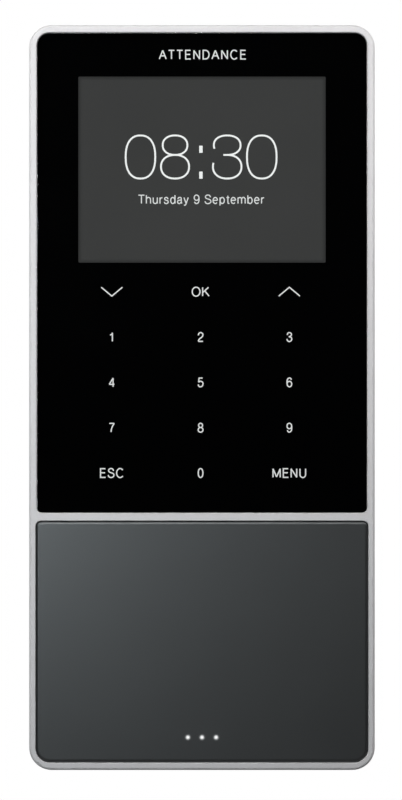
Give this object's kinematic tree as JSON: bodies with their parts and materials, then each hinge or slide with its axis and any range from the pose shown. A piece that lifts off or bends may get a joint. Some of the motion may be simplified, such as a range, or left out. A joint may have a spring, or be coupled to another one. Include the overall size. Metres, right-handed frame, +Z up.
{
  "type": "wall-mounted time clock terminal",
  "caption": "Slim wall-mounted time clock: silver frame, touch glass over a display and keys, dark card-reader cover, rear port bay, and the hooked steel wall plate it hangs on.",
  "frame": {"origin": "centre of the four wall holes on the back face of the wall plate, which lies on the wall", "axes": "+Z up, +Y into the wall, so the front faces -Y, and +X is to the right of someone who faces the front"},
  "size_m": [0.098, 0.031, 0.2112],
  "materials": {
    "silver_paint": "satin silver paint, fine metallic grain",
    "clear_glass": "polished clear cover glass",
    "black_print": "black ink",
    "black_tape": "matte black tape",
    "black_foam": "soft black foam",
    "display_glass": "lit display film, dark grey",
    "white_plastic": "white diffuser",
    "zinc_steel": "zinc-plated sheet steel",
    "bright_steel": "tin-plated sheet steel",
    "ribbon": "amber flexible ribbon",
    "black_board": "black solder mask",
    "green_board": "green solder mask",
    "led_white": "white lamp body",
    "chip_black": "black moulded chip",
    "ivory_plastic": "ivory connector plastic",
    "screw_steel": "plated screw steel",
    "slate_plastic": "satin slate-grey plastic",
    "light_pipe": "clear light pipe, lit white",
    "copper": "etched copper",
    "aluminium_can": "drawn aluminium can",
    "nickel_shell": "nickel-plated shell",
    "socket_black": "black socket plastic",
    "gold_contact": "gold-plated contact",
    "button_grey": "grey moulded button",
    "rubber_black": "black rubber",
    "speaker_paper": "pressed black paper",
    "lead_red": "insulated lead",
    "charcoal_plastic": "fine-textured charcoal plastic",
    "brass": "knurled brass",
    "label_white": "blank label"
  },
  "bodies": {
    "wall_plate": {"wall_plate": "zinc_steel", "locking_screw": "screw_steel"},
    "usb_cover": {"usb_cover": "rubber_black"},
    "reset_button": {"reset_button": "button_grey"},
    "tamper_plunger": {"tamper_plunger": "button_grey"},
    "terminal": {"front_frame": "silver_paint", "touch_glass": "clear_glass", "graphic_film": "black_print", "glass_adhesive": "black_tape", "display_gasket": "black_foam", "foam_pads": "black_foam", "speaker_gasket": "black_foam", "lcd_panel": "display_glass", "backlight_unit": "white_plastic", "display_tray": "bright_steel", "support_plate": "bright_steel", "shield_can": "bright_steel", "speaker_magnet": "bright_steel", "display_flex": "ribbon", "keypad_cable": "ribbon", "reader_cable": "ribbon", "keypad_board": "black_board", "main_board": "green_board", "reader_board": "green_board", "key_leds": "led_white", "status_leds": "led_white", "touch_controller": "chip_black", "processor": "chip_black", "board_chips": "chip_black", "reader_chip": "chip_black", "ffc_connectors": "ivory_plastic", "speaker_plug": "ivory_plastic", "support_screws": "screw_steel", "reader_screws": "screw_steel", "board_screws": "screw_steel", "case_screws": "screw_steel", "usb_hinge_pin": "screw_steel", "lower_cover": "slate_plastic", "status_light_pipes": "light_pipe", "antenna_coil": "copper", "capacitors": "aluminium_can", "wifi_module": "nickel_shell", "lan_jack": "nickel_shell", "usb_shell": "nickel_shell", "coin_cell": "nickel_shell", "coin_cell_holder": "socket_black", "dc_jack": "socket_black", "usb_insulator": "socket_black", "usb_riser": "socket_black", "reset_switch": "socket_black", "tamper_switch": "socket_black", "speaker_frame": "socket_black", "lan_contacts": "gold_contact", "dc_jack_pin": "gold_contact", "bumper_pads": "rubber_black", "speaker_cone": "speaker_paper", "speaker_leads": "lead_red", "rear_cover": "charcoal_plastic", "screw_insert": "brass", "blank_label": "label_white"}
  },
  "joints": [
    {"name": "terminal_lift", "type": "slide", "parent": "wall_plate", "child": "terminal", "axis": [0, 0, 1], "range_m": [0, 0.006]},
    {"name": "usb_cover_hinge", "type": "hinge", "parent": "terminal", "child": "usb_cover", "pos_m": [0.0466, -0.0063, 0.03], "axis": [0, 0, 1], "range_deg": [0, 95]},
    {"name": "reset_press", "type": "slide", "parent": "terminal", "child": "reset_button", "axis": [0, 0, 1], "range_m": [0, 0.0005], "stiffness_N_per_m": 200},
    {"name": "tamper_slide", "type": "slide", "parent": "terminal", "child": "tamper_plunger", "axis": [0, 1, 0], "range_m": [0, 0.0015]}
  ],
  "couplings": [
    {"joint": "tamper_slide", "follows": "terminal_lift", "ratio": 0.25}
  ]
}
